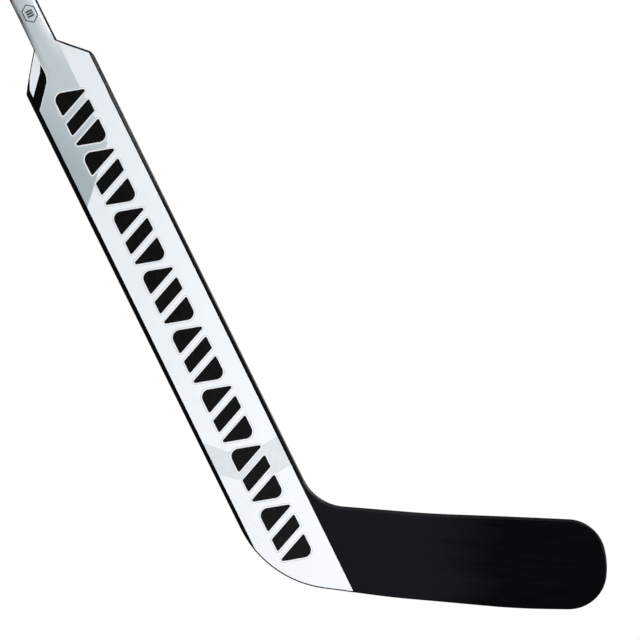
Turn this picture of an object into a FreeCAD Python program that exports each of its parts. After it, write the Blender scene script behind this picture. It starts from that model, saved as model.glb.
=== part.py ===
import FreeCAD, Part
import os
import Sketcher
from FreeCAD import Placement, Rotation, Vector

# A goaltender's ice hockey stick, 24 inch paddle, standing in its playing pose.
# Millimetres. X runs from the heel to the toe, Z is up, and the front face looks along -Y.
# The origin is the middle of the flat of the sole, in the plane half way through the shaft.
# "Along" is measured up the leaning axis of the shaft, from where that axis meets the ice.
SIZES = [
    ("lean", 31.0),              # degrees the shaft leans from upright
    ("slab", 19.5),              # thickness of the shaft and paddle, front to back
    ("shaft_wide", 25.5),
    ("shaft_up", 1475.0),        # along the axis to the butt end
    ("shaft_round", 5.0),
    ("shaft_neck", 25.0),        # length over which the shaft's corners sharpen
    ("neck_round", 1.5),
    ("wrap_skin", 1.0),
    ("strip_wide", 14.5),        # middle strip of the laminated shaft
    ("paddle_wide", 82.0),
    ("shoulder_up", 639.4),
    ("right_drop", 28.5),        # how far each shoulder falls along the axis
    ("left_drop", 38.0),
    ("corner_round", 8.0),
    ("toe_reach", 163.0),        # origin to the tip of the toe
    ("blade_long", 348.5),       # sharp heel to the tip of the toe
    ("blade_tall", 89.6),
    ("heel_break", 55.0),
    ("heel_rise", 2.83),
    ("toe_break", 75.0),
    ("toe_rise", 5.1),
    ("rocker_round", 750.0),
    ("toe_knee", 58.5),
    ("toe_slope", 18.0),
    ("top_break", 25.0),
    ("top_rise", 3.1),
    ("top_blend", 1000.0),
    ("heel_round", 115.0),
    ("toe_low_round", 40.0),
    ("toe_front_round", 80.0),
    ("toe_high_round", 37.0),
    ("throat_round", 51.0),
    ("curve_start", 80.0),       # the blade bends and thins from this far behind the origin
    ("toe_hook", 24.0),
    ("toe_thick", 9.5),
    ("rail_wide", 5.5),
    ("rail_round", 5.0),
    ("blade_round", 3.0),
    ("sole_round", 1.5),
    ("skin", 1.0),
    ("film", 0.25),
    ("stringer_tall", 4.0),
    ("stringer_up", 44.0),
    ("tongue_up", 95.0),         # the spine's tongue starts here, inside the heel block
    ("heel_block_up", 135.0),
    ("heel_joint", 95.0),
    ("throat_joint", 112.0),
    ("left_joint", 588.0),
    ("right_joint", 598.0),
    ("throat_end", 112.0),       # how far behind the origin the throat piece ends
    ("toe_joint", 118.0),
    ("badge_up", 675.0),
    ("badge_long", 24.0),
    ("badge_wide", 17.0),
    ("reach", 1600.0),           # length of the slabs that the layers are cut from
]

# Formulas shared by several sub-parts, written for the expression engine.
HALF_SLAB = "Sizes.slab / 2"
HALF_SHAFT = "Sizes.shaft_wide / 2"
HALF_PADDLE = "Sizes.paddle_wide / 2"
HALF_WOOD = "(Sizes.shaft_wide / 2 - Sizes.wrap_skin)"
INNER_HALF = "(Sizes.paddle_wide / 2 - Sizes.rail_wide)"
SHARP_HEEL = "(Sizes.toe_reach - Sizes.blade_long)"
FOOT = f"({SHARP_HEEL} + {HALF_PADDLE} / cos(Sizes.lean))"
RIGHT_FOOT = f"({FOOT} + {HALF_PADDLE} / cos(Sizes.lean))"
WOOD_ROUND = "(Sizes.shaft_round - Sizes.wrap_skin)"
HALF_STRIP = "Sizes.strip_wide / 2"
FAR = "Sizes.reach"
TOE_DEPTH = "(Sizes.toe_reach + Sizes.curve_start)"
FRONT_FALL = "(Sizes.toe_hook + Sizes.toe_thick / 2 - Sizes.slab / 2)"
BACK_FALL = "(Sizes.toe_hook - Sizes.toe_thick / 2 + Sizes.slab / 2)"
FRONT_RADIUS = f"({TOE_DEPTH} ^ 2 + {FRONT_FALL} ^ 2) / (2 * {FRONT_FALL})"
BACK_RADIUS = f"({TOE_DEPTH} ^ 2 + {BACK_FALL} ^ 2) / (2 * {BACK_FALL})"

document = FreeCAD.newDocument("GoalStick")
sheet = document.addObject("Spreadsheet::Sheet", "Sizes")
for row, (alias, value) in enumerate(SIZES, start=1):
    sheet.set(f"A{row}", alias)
    sheet.set(f"B{row}", str(value))
    sheet.setAlias(f"B{row}", alias)
document.recompute()


def amount(formula):
    """The number that a formula in the sheet's sizes works out to."""
    return float(sheet.evalExpression(formula))


def tilted(across, along):
    """X and Z formulas of a point given across and along the leaning axis."""
    across_x = f"({across}) * cos(Sizes.lean) - ({along}) * sin(Sizes.lean)"
    across_z = f"({across}) * sin(Sizes.lean) + ({along}) * cos(Sizes.lean)"
    return f"{FOOT} + {across_x}", across_z


def stand_on_axis(thing):
    """Put an object drawn about an upright axis onto the leaning axis of the shaft."""
    thing.Placement = Placement(Vector(amount(FOOT), 0, 0), Rotation(Vector(0, 1, 0), -amount("Sizes.lean")))
    thing.setExpression("Placement.Base.x", FOOT)
    thing.setExpression("Placement.Rotation.Angle", "-Sizes.lean")


def new_body(label):
    body = document.addObject("PartDesign::Body", label)
    body.Label = label
    return body


def new_sketch(body, name, plane_role):
    """A sketch lying on one of its body's own origin planes."""
    sketch = body.newObject("Sketcher::SketchObject", name)
    plane = [item for item in body.Origin.OriginFeatures if item.Role == plane_role][0]
    sketch.AttachmentSupport = (plane, "")
    sketch.MapMode = "FlatFace"
    return sketch


def fix_point(sketch, line, end, formulas):
    """Hold one end of a line at the place that two formulas give."""
    for kind, formula in zip(("DistanceX", "DistanceY"), formulas):
        constraint = Sketcher.Constraint(kind, -1, 1, line, end, amount(formula))
        index = sketch.addConstraint(constraint)
        sketch.setExpression(f"Constraints[{index}]", formula)


def draw_polygon(sketch, corners):
    """A closed outline: each corner is (x formula, y formula, radius formula or None)."""
    points = [Vector(amount(x), amount(y), 0) for x, y, _ in corners]
    count = len(points)
    lines = []
    for index in range(count):
        segment = Part.LineSegment(points[index], points[(index + 1) % count])
        lines.append(sketch.addGeometry(segment, False))
    for index in range(count):
        joined = Sketcher.Constraint("Coincident", lines[index], 2, lines[(index + 1) % count], 1)
        sketch.addConstraint(joined)
        fix_point(sketch, lines[index], 1, corners[index][:2])
    for index, (_, _, radius) in enumerate(corners):
        if radius is None:
            continue
        sketch.fillet(lines[index], 1, amount(radius), True, True)
        arc = max(item for item in range(sketch.GeometryCount) if not sketch.getConstruction(item))
        held = sketch.addConstraint(Sketcher.Constraint("Radius", arc, amount(radius)))
        sketch.setExpression(f"Constraints[{held}]", radius)


def add_pad(body, sketch, name, length, midplane=False):
    pad = body.newObject("PartDesign::Pad", name)
    pad.Profile = sketch
    pad.Midplane = midplane
    pad.Length = amount(length)
    pad.setExpression("Length", length)
    body.Tip = pad
    return pad


def boolean(kind, label, shapes):
    """A common or a fuse of several objects."""
    thing = document.addObject(f"Part::Multi{kind}", label)
    thing.Label = label
    thing.Shapes = shapes
    return thing


def cut(label, base, tool):
    thing = document.addObject("Part::Cut", label)
    thing.Label = label
    thing.Base = base
    thing.Tool = tool
    return thing


def zone(name, low, high, leaning=True):
    """A box between two corners, given as formulas, upright or on the leaning axis."""
    box = document.addObject("Part::Box", name)
    for prop, start, end in zip(("Length", "Width", "Height"), low, high):
        box.setExpression(prop, f"({end}) - ({start})")
    if leaning:
        stand_on_axis(box)
        place_x, place_z = tilted(low[0], low[2])
    else:
        place_x, place_z = low[0], low[2]
    box.setExpression("Placement.Base.x", place_x)
    box.setExpression("Placement.Base.y", low[1])
    box.setExpression("Placement.Base.z", place_z)
    return box


def silhouette():
    """The outline of paddle and blade, with a stub of the shaft's width above the shoulders."""
    heel_z = (f"tan(Sizes.heel_rise) * (-Sizes.heel_break - {SHARP_HEEL})"
              " / (1 - tan(Sizes.lean) * tan(Sizes.heel_rise))")
    top_run = "(Sizes.toe_reach + Sizes.toe_knee * tan(Sizes.toe_slope) + Sizes.top_break)"
    top_z = (f"(Sizes.blade_tall + {top_run} * tan(Sizes.top_rise))"
             " / (1 + tan(Sizes.toe_slope) * tan(Sizes.top_rise))")
    top_x = f"Sizes.toe_reach - ({top_z} - Sizes.toe_knee) * tan(Sizes.toe_slope)"
    throat_x = f"{RIGHT_FOOT} - Sizes.blade_tall * tan(Sizes.lean)"
    stub = "Sizes.shoulder_up + Sizes.shaft_neck"
    toe_low_z = "(Sizes.toe_reach - Sizes.toe_break) * tan(Sizes.toe_rise)"
    corners = [
        (f"{SHARP_HEEL} - ({heel_z}) * tan(Sizes.lean)", heel_z, "Sizes.heel_round"),
        ("-Sizes.heel_break", "0", "Sizes.rocker_round"),
        ("Sizes.toe_break", "0", "Sizes.rocker_round"),
        ("Sizes.toe_reach", toe_low_z, "Sizes.toe_low_round"),
        ("Sizes.toe_reach", "Sizes.toe_knee", "Sizes.toe_front_round"),
        (top_x, top_z, "Sizes.toe_high_round"),
        ("-Sizes.top_break", "Sizes.blade_tall", "Sizes.top_blend"),
        (throat_x, "Sizes.blade_tall", "Sizes.throat_round"),
        tilted(HALF_PADDLE, "Sizes.shoulder_up - Sizes.right_drop") + ("Sizes.corner_round",),
        tilted(HALF_SHAFT, "Sizes.shoulder_up") + (None,),
        tilted(HALF_SHAFT, stub) + (None,),
        tilted(f"-{HALF_SHAFT}", stub) + (None,),
        tilted(f"-{HALF_SHAFT}", "Sizes.shoulder_up") + (None,),
        tilted(f"-{HALF_PADDLE}", "Sizes.shoulder_up - Sizes.left_drop") + ("Sizes.corner_round",),
    ]
    body = new_body("outline_form")
    sketch = new_sketch(body, "outline", "XZ_Plane")
    draw_polygon(sketch, corners)
    add_pad(body, sketch, "outline_pad", "Sizes.reach", True)
    return body, sketch


def inset_form(name, outline, inset):
    """A thick plate whose edge runs a constant distance inside the outline."""
    loop = document.addObject("Part::Offset2D", f"{name}_loop")
    loop.Source = outline
    loop.Join = 2
    loop.setExpression("Value", f"-({inset})")
    plate = document.addObject("Part::Extrusion", name)
    plate.Base = loop
    plate.DirMode = "Custom"
    plate.Dir = Vector(0, 1, 0)
    plate.Solid = True
    plate.Symmetric = True
    plate.setExpression("LengthFwd", "Sizes.reach")
    return plate


def face_path(sketch, front, depth):
    """One long face of a layer seen in plan: straight along the paddle, then the blade's bend."""
    side = "-1" if front else "1"
    y_formula = f"{side} * ({HALF_SLAB} - ({depth}))"
    radius = f"{FRONT_RADIUS} + ({depth})" if front else f"{BACK_RADIUS} - ({depth})"
    y_start = amount(y_formula)
    bend = amount(radius)
    start_x = amount("-Sizes.curve_start")
    end_x = amount("Sizes.toe_reach + Sizes.rail_wide")
    centre = Vector(start_x, y_start - bend, 0)
    circle = Part.Circle(centre, Vector(0, 0, 1), bend)
    end_angle = circle.parameter(Vector(end_x, centre.y + (bend ** 2 - (end_x - start_x) ** 2) ** 0.5, 0))
    start = Vector(start_x, y_start, 0)
    line = Part.LineSegment(Vector(amount("-Sizes.reach"), y_start, 0), start)
    straight = sketch.addGeometry(line, False)
    arc = sketch.addGeometry(Part.ArcOfCircle(circle, end_angle, circle.parameter(start)), False)
    fix_point(sketch, straight, 1, ("-Sizes.reach", y_formula))
    fix_point(sketch, straight, 2, ("-Sizes.curve_start", y_formula))
    sketch.addConstraint(Sketcher.Constraint("Tangent", straight, 2, arc, 2))
    held = sketch.addConstraint(Sketcher.Constraint("Radius", arc, bend))
    sketch.setExpression(f"Constraints[{held}]", radius)
    ended = sketch.addConstraint(Sketcher.Constraint("DistanceX", -1, 1, arc, 1, end_x))
    sketch.setExpression(f"Constraints[{ended}]", "Sizes.toe_reach + Sizes.rail_wide")
    return straight, arc


def layer(name, front_face, back_face):
    """A sheet running through paddle and blade between two faces, each (is it the front, depth)."""
    body = new_body(name)
    sketch = new_sketch(body, f"{name}_plan", "XY_Plane")
    lower = face_path(sketch, *front_face)
    upper = face_path(sketch, *back_face)
    for first, second, end in ((lower[0], upper[0], 1), (lower[1], upper[1], 1)):
        start = sketch.getPoint(first, end)
        stop = sketch.getPoint(second, end)
        closing = sketch.addGeometry(Part.LineSegment(start, stop), False)
        sketch.addConstraint(Sketcher.Constraint("Coincident", closing, 1, first, end))
        sketch.addConstraint(Sketcher.Constraint("Coincident", closing, 2, second, end))
    add_pad(body, sketch, f"{name}_pad", "2 * Sizes.reach", True)
    return body


def rounded(label, rail, radius_at):
    """Round a rail's long outer edges, with a radius that radius_at gives for a point on the edge."""
    edges = []
    for number, edge in enumerate(rail.Shape.Edges, start=1):
        span = edge.LastParameter - edge.FirstParameter
        points = [edge.valueAt(edge.FirstParameter + span * share) for share in (0.0, 0.5, 1.0)]
        flat = [Part.Vertex(point.x, 0, point.z) for point in points]
        on_outline = all(outline_sketch.Shape.distToShape(vertex)[0] < 0.01 for vertex in flat)
        drawn_out = flat[0].Point.distanceToPoint(flat[2].Point) > 0.01
        if on_outline and drawn_out:
            edges.append((number, radius_at(points[0]), radius_at(points[2])))
    thing = document.addObject("Part::Fillet", label)
    thing.Label = label
    thing.Base = rail
    thing.Edges = edges
    return thing


def along_axis(point):
    """How far up the leaning axis a point lies."""
    lean = amount("Sizes.lean")
    axis = Rotation(Vector(0, 1, 0), -lean).multVec(Vector(0, 0, 1))
    return (point - Vector(amount(FOOT), 0, 0)).dot(axis)


def paddle_radius(point):
    return amount("Sizes.rail_round")


def blade_radius(point):
    return amount("Sizes.blade_round")


def sole_radius(point):
    return amount("Sizes.sole_round")


def toe_radius(point):
    """The sole's tight rounding at the foot of the toe, growing to the blade's at its top."""
    share = min(max(point.z / amount("Sizes.blade_tall"), 0.0), 1.0)
    return sole_radius(point) + (blade_radius(point) - sole_radius(point)) * share


def fading_radius(full_along, small_along, small_radius):
    """The paddle's full rounding at one height along the axis, fading to a smaller one at another."""
    def radius_at(point):
        share = (along_axis(point) - small_along) / (full_along - small_along)
        share = min(max(share, 0.0), 1.0)
        return small_radius(point) + (paddle_radius(point) - small_radius(point)) * share

    return radius_at


def rounded_section(sketch, wide, thick, radius):
    """A rounded rectangle about the sketch's origin."""
    corners = [
        (f"-({wide}) / 2", f"-({thick}) / 2", radius),
        (f"({wide}) / 2", f"-({thick}) / 2", radius),
        (f"({wide}) / 2", f"({thick}) / 2", radius),
        (f"-({wide}) / 2", f"({thick}) / 2", radius),
    ]
    draw_polygon(sketch, corners)


def raised_sketch(body, name, up):
    """A cross-section sketch at a height along the axis."""
    sketch = new_sketch(body, name, "XY_Plane")
    sketch.setExpression("AttachmentOffset.Base.z", up)
    return sketch


def shaft_strip(label, left, right, left_radius, right_radius):
    """One strip of the shaft's wood: square inside the paddle, rounded above the shoulders."""
    body = new_body(label)
    half = f"({HALF_SLAB} - Sizes.wrap_skin)"
    spine = raised_sketch(body, f"{label}_spine", "Sizes.tongue_up")
    square = [(left, f"-{half}", None), (right, f"-{half}", None), (right, half, None), (left, half, None)]
    draw_polygon(spine, square)
    add_pad(body, spine, f"{label}_spine_pad", "Sizes.shoulder_up - Sizes.tongue_up")
    upper = raised_sketch(body, f"{label}_upper", "Sizes.shoulder_up")
    round_square = [
        (left, f"-{half}", left_radius),
        (right, f"-{half}", right_radius),
        (right, half, right_radius),
        (left, half, left_radius),
    ]
    draw_polygon(upper, round_square)
    add_pad(body, upper, f"{label}_upper_pad", "Sizes.shaft_up - Sizes.shoulder_up")
    stand_on_axis(body)
    return body


def shaft_wrap():
    """The fibre sleeve. Its corners sharpen where it runs down onto the shoulders."""
    body = new_body("shaft_wrap")
    neck = raised_sketch(body, "neck_section", "Sizes.shoulder_up")
    rounded_section(neck, "Sizes.shaft_wide", "Sizes.slab", "Sizes.neck_round")
    full = raised_sketch(body, "full_section", "Sizes.shoulder_up + Sizes.shaft_neck")
    rounded_section(full, "Sizes.shaft_wide", "Sizes.slab", "Sizes.shaft_round")
    loft = body.newObject("PartDesign::AdditiveLoft", "neck_loft")
    loft.Profile = neck
    loft.Sections = [full]
    loft.Ruled = True
    body.Tip = loft
    upper = raised_sketch(body, "sleeve_section", "Sizes.shoulder_up + Sizes.shaft_neck")
    rounded_section(upper, "Sizes.shaft_wide", "Sizes.slab", "Sizes.shaft_round")
    add_pad(body, upper, "sleeve_pad", "Sizes.shaft_up - Sizes.shoulder_up - Sizes.shaft_neck")
    bore = raised_sketch(body, "bore_section", "Sizes.shoulder_up")
    inner_wide = "Sizes.shaft_wide - 2 * Sizes.wrap_skin"
    inner_thick = "Sizes.slab - 2 * Sizes.wrap_skin"
    rounded_section(bore, inner_wide, inner_thick, WOOD_ROUND)
    document.recompute()
    before = body.Shape.Volume
    pocket = body.newObject("PartDesign::Pocket", "sleeve_bore")
    pocket.Profile = bore
    pocket.Reversed = True
    pocket.setExpression("Length", "Sizes.shaft_up - Sizes.shoulder_up")
    body.Tip = pocket
    document.recompute()
    if body.Shape.Volume > before * 0.5:
        raise RuntimeError("the sleeve's bore cut nothing")
    stand_on_axis(body)
    return body


def badge():
    """A plain six-sided badge on the front of the shaft."""
    body = new_body("shaft_badge")
    sketch = new_sketch(body, "badge_outline", "XZ_Plane")
    sketch.setExpression("AttachmentOffset.Base.z", HALF_SLAB)
    half_long = "Sizes.badge_long / 2"
    half_wide = "Sizes.badge_wide / 2"
    corners = [
        ("0", f"Sizes.badge_up - {half_long}", None),
        (half_wide, f"Sizes.badge_up - {half_long} / 2", None),
        (half_wide, f"Sizes.badge_up + {half_long} / 2", None),
        ("0", f"Sizes.badge_up + {half_long}", None),
        (f"-{half_wide}", f"Sizes.badge_up + {half_long} / 2", None),
        (f"-{half_wide}", f"Sizes.badge_up - {half_long} / 2", None),
    ]
    draw_polygon(sketch, corners)
    add_pad(body, sketch, "badge_pad", "Sizes.film")
    stand_on_axis(body)
    return body


outline_body, outline_sketch = silhouette()
document.recompute()
inner_form = inset_form("inner_form", outline_sketch, "Sizes.rail_wide")
film_form = inset_form("film_form", outline_sketch, "Sizes.sole_round")
whole_layer = layer("whole_layer", (True, "0"), (False, "0"))
front_layer = layer("front_layer", (True, "0"), (True, "Sizes.skin"))
core_layer = layer("core_layer", (True, "Sizes.skin"), (False, "Sizes.skin"))
back_layer = layer("back_layer", (False, "Sizes.skin"), (False, "0"))

spine_zone = zone("spine_zone", (f"-{HALF_WOOD}", f"-{HALF_SLAB}", "Sizes.tongue_up"),
                  (HALF_WOOD, HALF_SLAB, "Sizes.shoulder_up + Sizes.shaft_neck"))
face_zone = zone("face_zone", (f"-{HALF_WOOD}", f"-{HALF_SLAB}", "Sizes.heel_block_up"),
                 (HALF_WOOD, HALF_SLAB, "Sizes.shoulder_up"))
whole = boolean("Common", "whole", [outline_body, whole_layer])
edge_band = cut("edge_band", whole, inner_form)
rail_band = cut("rail_band", edge_band, spine_zone)
skin_form = boolean("Fuse", "skin_form", [inner_form, face_zone])
document.recompute()


def rail(label, low, high, radius_at, leaning=True, more=()):
    """A length of the edge band inside a zone, with its outer edges rounded."""
    region = zone(f"{label}_zone", low, high, leaning)
    blank = boolean("Common", f"{label}_blank", [rail_band, region] + list(more))
    document.recompute()
    return rounded(label, blank, radius_at)


def field(label, form, sheet_layer, low, high, leaning=True, more=()):
    """The part of one layer, inside one outline form, that a zone keeps."""
    region = zone(f"{label}_zone", low, high, leaning)
    return boolean("Common", label, [form, sheet_layer, region] + list(more))


def shoulder_fade(drop):
    """Full rounding just below a shoulder's corner, the small one just above it."""
    corner = amount(f"Sizes.shoulder_up - {drop}")
    spread = amount("Sizes.corner_round") / 4
    return fading_radius(corner - spread, corner + spread, blade_radius)


# The paddle's edges are rounder than the blade's: one fades round the heel, one down the right rail.
heel_fade = fading_radius(amount("Sizes.heel_joint"), 0, sole_radius)
right_fade = fading_radius(amount("Sizes.right_joint"), amount("Sizes.throat_joint"), blade_radius)

STRINGER_TOP = "Sizes.stringer_up + Sizes.stringer_tall"
blade_zone = zone("blade_zone", (INNER_HALF, f"-{FAR}", f"-{FAR}"), (FAR, FAR, "Sizes.throat_joint"))


def blade_rail(label, low, high, radius_at):
    return rail(label, low, high, radius_at, False, [blade_zone])


def blade_field(label, sheet_layer, low_z, high_z):
    return field(label, inner_form, sheet_layer, (f"-{FAR}", f"-{FAR}", low_z), (FAR, FAR, high_z),
                 False, [blade_zone])


def paddle_field(label, form, sheet_layer, left, right, low, high):
    return field(label, form, sheet_layer, (left, f"-{FAR}", low), (right, FAR, high))


def decal(label, front):
    """A printed film lying on the paddle between the rails."""
    outer = f"({HALF_SLAB} + Sizes.film)"
    near, far = (f"-{outer}", f"-{HALF_SLAB}") if front else (HALF_SLAB, outer)
    low = (f"-{INNER_HALF}", near, f"-{FAR}")
    high = (INNER_HALF, far, "Sizes.shoulder_up")
    region = zone(f"{label}_zone", low, high)
    return boolean("Common", label, [film_form, region])


def paddle_skin(label, sheet_layer):
    return paddle_field(label, skin_form, sheet_layer, f"-{FAR}", INNER_HALF, f"-{FAR}", "Sizes.shoulder_up")


heel_blank = paddle_field("heel_blank", inner_form, core_layer, f"-{FAR}", INNER_HALF,
                          f"-{FAR}", "Sizes.heel_block_up")

parts = [
    shaft_strip("shaft_core", f"-{HALF_STRIP}", HALF_STRIP, None, None),
    shaft_strip("shaft_left_ply", f"-{HALF_WOOD}", f"-{HALF_STRIP}", WOOD_ROUND, None),
    shaft_strip("shaft_right_ply", HALF_STRIP, HALF_WOOD, None, WOOD_ROUND),
    shaft_wrap(),
    badge(),
    paddle_field("paddle_core_left", inner_form, core_layer, f"-{FAR}", f"-{HALF_WOOD}",
                 "Sizes.heel_block_up", "Sizes.shoulder_up"),
    paddle_field("paddle_core_right", inner_form, core_layer, HALF_WOOD, INNER_HALF,
                 "Sizes.heel_block_up", "Sizes.shoulder_up"),
    rail("paddle_left_rail", (f"-{FAR}", f"-{FAR}", "Sizes.heel_joint"),
         (f"-{HALF_WOOD}", FAR, "Sizes.left_joint"), paddle_radius),
    rail("paddle_right_rail", (HALF_WOOD, f"-{FAR}", "Sizes.throat_joint"),
         (FAR, FAR, "Sizes.right_joint"), right_fade),
    rail("shoulder_left_rail", (f"-{FAR}", f"-{FAR}", "Sizes.left_joint"),
         ("0", FAR, "Sizes.shoulder_up"), shoulder_fade("Sizes.left_drop")),
    rail("shoulder_right_rail", ("0", f"-{FAR}", "Sizes.right_joint"),
         (FAR, FAR, "Sizes.shoulder_up"), shoulder_fade("Sizes.right_drop")),
    paddle_skin("paddle_front_skin", front_layer),
    paddle_skin("paddle_back_skin", back_layer),
    decal("paddle_front_decal", True),
    decal("paddle_back_decal", False),
    cut("heel_block", heel_blank, spine_zone),
    rail("heel_rail", (f"-{FAR}", f"-{FAR}", f"-{FAR}"), (INNER_HALF, FAR, "Sizes.heel_joint"), heel_fade),
    blade_rail("throat_rail", (f"-{FAR}", f"-{FAR}", STRINGER_TOP),
               ("-Sizes.throat_end", FAR, FAR), blade_radius),
    blade_rail("blade_top_rail", ("-Sizes.throat_end", f"-{FAR}", STRINGER_TOP),
               ("Sizes.toe_joint", FAR, FAR), blade_radius),
    blade_rail("blade_toe_rail", ("Sizes.toe_joint", f"-{FAR}", f"-{FAR}"), (FAR, FAR, FAR), toe_radius),
    blade_rail("blade_sole_rail", (f"-{FAR}", f"-{FAR}", f"-{FAR}"),
               ("Sizes.toe_joint", FAR, "Sizes.stringer_up"), sole_radius),
    blade_field("blade_front_skin", front_layer, f"-{FAR}", FAR),
    blade_field("blade_back_skin", back_layer, f"-{FAR}", FAR),
    blade_field("blade_core_lower", core_layer, f"-{FAR}", "Sizes.stringer_up"),
    blade_field("blade_stringer", core_layer, "Sizes.stringer_up", STRINGER_TOP),
    blade_field("blade_core_upper", core_layer, STRINGER_TOP, FAR),
]
document.recompute()

for item in document.Objects:
    if "Invalid" in item.State or "Error" in item.State:
        raise RuntimeError(f"{item.Label} did not build: {item.State}")
os.makedirs("parts", exist_ok=True)
for part in parts:
    shape = part.Shape
    if shape.isNull() or not shape.isValid() or len(shape.Solids) != 1:
        raise RuntimeError(f"{part.Label} is not one valid solid")
    shape.exportStep(os.path.join("parts", f"{part.Label}.step"))
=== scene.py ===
import math

import bpy
from mathutils import Matrix, Vector
from mathutils.geometry import delaunay_2d_cdt


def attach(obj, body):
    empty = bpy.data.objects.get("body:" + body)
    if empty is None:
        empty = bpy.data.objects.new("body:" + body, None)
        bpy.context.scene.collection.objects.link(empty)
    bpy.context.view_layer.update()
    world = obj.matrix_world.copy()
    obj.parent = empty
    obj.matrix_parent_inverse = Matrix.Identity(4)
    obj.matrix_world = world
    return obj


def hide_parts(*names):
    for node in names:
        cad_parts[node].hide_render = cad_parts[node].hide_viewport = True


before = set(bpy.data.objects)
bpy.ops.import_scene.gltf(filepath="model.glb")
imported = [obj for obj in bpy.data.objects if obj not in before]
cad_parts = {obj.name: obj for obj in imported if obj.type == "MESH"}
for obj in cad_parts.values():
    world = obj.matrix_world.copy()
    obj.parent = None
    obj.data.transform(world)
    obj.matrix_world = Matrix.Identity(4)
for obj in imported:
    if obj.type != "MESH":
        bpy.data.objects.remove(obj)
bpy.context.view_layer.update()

MM = 0.001
LEAN = math.radians(31.0)
PADDLE_HALF = 41.0           # half the paddle's width, mm
RAIL = 5.5                   # width of the black rails seen from the front
FILM_HALF = PADDLE_HALF - RAIL
FILM_DRIFT = 0.0025          # how much the film moves to the left, per mm towards the heel
FILM_DRIFT_FROM = 480.0      # the height along the axis where it has not moved
FILM_RIGHT = 37.4            # the film reaches further over on the right
SHAFT_HALF = 12.75
SLAB_HALF = 9.75             # half the thickness of shaft and paddle
WRAP = 1.0                   # the sleeve round the shaft's wood
WOOD_HALF = SHAFT_HALF - WRAP
SHOULDER_UP = 639.4          # along the axis, mm
SHAFT_UP = 1475.0
LEFT_CORNER = 601.4          # where each shoulder meets the paddle's edge
RIGHT_CORNER = 610.9
TOE_REACH = 163.0            # the blade's end, X
BLADE_LONG = 348.5           # from there back to the paddle's left edge line at Z 0
BLADE_TALL = 89.6            # up to TOP_FROM, and taller in front of it
SOLE_FROM = -55.0            # the sole is flat between SOLE_FROM and SOLE_TO, X
SOLE_TO = 75.0
HEEL_RISE = 2.83             # slopes of the sole behind and in front of its flat, degrees
TOE_RISE = 5.1
TOP_FROM = -25.0             # the blade's top edge rises in front of here, X
TOP_RISE = 3.1
TOE_UPRIGHT = 58.5           # the toe's edge is upright to this height, then leans back
TOE_LEAN = 18.0
CURVE_START = -80.0          # the blade bends forward from here, X
TOE_HOOK = 24.0
TOE_THICK = 9.5
NECK_RISE = 0.4              # the little fillet between shoulder and shaft
NECK_UP = SHOULDER_UP + NECK_RISE
THROAT_UP = 112.0            # just above where the paddle's right edge curves into the blade
SINK = 0.02                  # how deep the underside of a film lies in what it covers
FOOT = TOE_REACH - BLADE_LONG + PADDLE_HALF / math.cos(LEAN)
COS, SIN = math.cos(LEAN), math.sin(LEAN)


def tilt(across, along):
    """X and Z, in mm, of a point given across and along the leaning axis."""
    return FOOT + across * COS - along * SIN, across * SIN + along * COS


def untilt(x, z):
    """The across and along of a point given in X and Z."""
    return (x - FOOT) * COS + z * SIN, -(x - FOOT) * SIN + z * COS


def blend(value, low, high):
    """0 at low, 1 at high, smooth between and held outside."""
    share = min(max((value - low) / (high - low), 0.0), 1.0)
    return share * share * (3 - 2 * share)


# -------------------- the outline

def line_meet(point_a, direction_a, point_b, direction_b):
    """Where two lines in the XZ plane cross."""
    cross = direction_a[0] * direction_b[1] - direction_a[1] * direction_b[0]
    gap = (point_b[0] - point_a[0], point_b[1] - point_a[1])
    share = (gap[0] * direction_b[1] - gap[1] * direction_b[0]) / cross
    return point_a[0] + direction_a[0] * share, point_a[1] + direction_a[1] * share


def slope(degrees):
    """A direction in the XZ plane, given by its angle."""
    return math.cos(math.radians(degrees)), math.sin(math.radians(degrees))


STUB = 12.0                  # length of shaft in the outline, cut away again at the neck


def outline_corners():
    """The silhouette of paddle and blade, anticlockwise from the heel: each (x, z, fillet radius)."""
    left_edge = tilt(-PADDLE_HALF, 0)
    right_edge = tilt(PADDLE_HALF, 0)
    axis = (-SIN, COS)
    heel = line_meet(left_edge, axis, (SOLE_FROM, 0.0), slope(180 - HEEL_RISE))
    toe_low = line_meet((SOLE_TO, 0.0), slope(TOE_RISE), (TOE_REACH, 0.0), (0.0, 1.0))
    toe_high = line_meet((TOP_FROM, BLADE_TALL), slope(TOP_RISE),
                         (TOE_REACH, TOE_UPRIGHT), slope(90 + TOE_LEAN))
    throat = line_meet(right_edge, axis, (0.0, BLADE_TALL), (1.0, 0.0))
    return [
        heel + (115.0,),
        (SOLE_FROM, 0.0, 750.0),
        (SOLE_TO, 0.0, 750.0),
        toe_low + (40.0,),
        (TOE_REACH, TOE_UPRIGHT, 80.0),
        toe_high + (37.0,),
        (TOP_FROM, BLADE_TALL, 1000.0),
        throat + (51.0,),
        tilt(PADDLE_HALF, RIGHT_CORNER) + (8.0,),
        tilt(SHAFT_HALF, SHOULDER_UP) + (NECK_RISE / math.tan(math.radians(22.5)),),
        tilt(SHAFT_HALF, SHOULDER_UP + STUB) + (None,),
        tilt(-SHAFT_HALF, SHOULDER_UP + STUB) + (None,),
        tilt(-SHAFT_HALF, SHOULDER_UP) + (NECK_RISE / math.tan(math.radians(18.43)),),
        tilt(-PADDLE_HALF, LEFT_CORNER) + (8.0,),
    ]


ARC_STEP = 9.0               # the longest steps between points, mm
STRAIGHT_STEP = 12.0


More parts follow.
